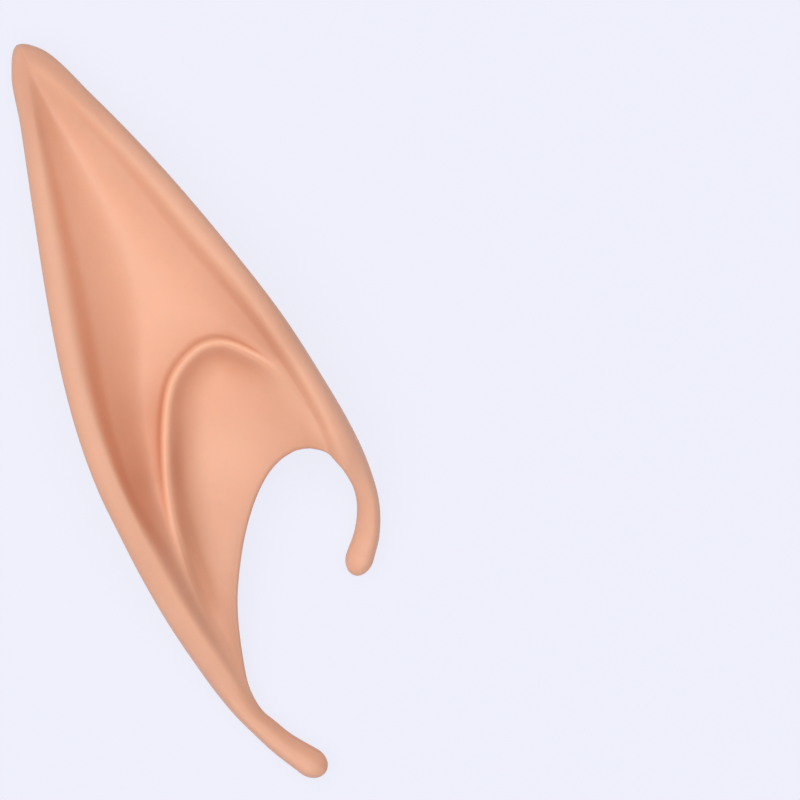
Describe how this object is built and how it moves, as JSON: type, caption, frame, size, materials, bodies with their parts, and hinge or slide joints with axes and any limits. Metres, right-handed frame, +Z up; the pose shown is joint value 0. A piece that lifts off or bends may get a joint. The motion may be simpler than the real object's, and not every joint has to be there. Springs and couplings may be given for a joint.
{
  "type": "elf ear tip",
  "caption": "Long pointed latex ear tip: hollow shell with rolled rim, long trough, arch ridge and bowl, open at a round cut-out between a lobe tail and a short front tail.",
  "frame": {"origin": "centre of the bounding box in X and Y, on the surface that the back of the ear lies on", "axes": "+Z up out of the modelled front face, +Y along the ear from the lobe tail to the pointed tip, -X the rear rim, +X the front rim and the short front tail"},
  "size_m": [0.0392, 0.12, 0.0165],
  "materials": {
    "latex": "soft satin cast latex, peach skin tone"
  },
  "bodies": {
    "root": {"ear_shell": "latex"}
  },
  "joints": []
}
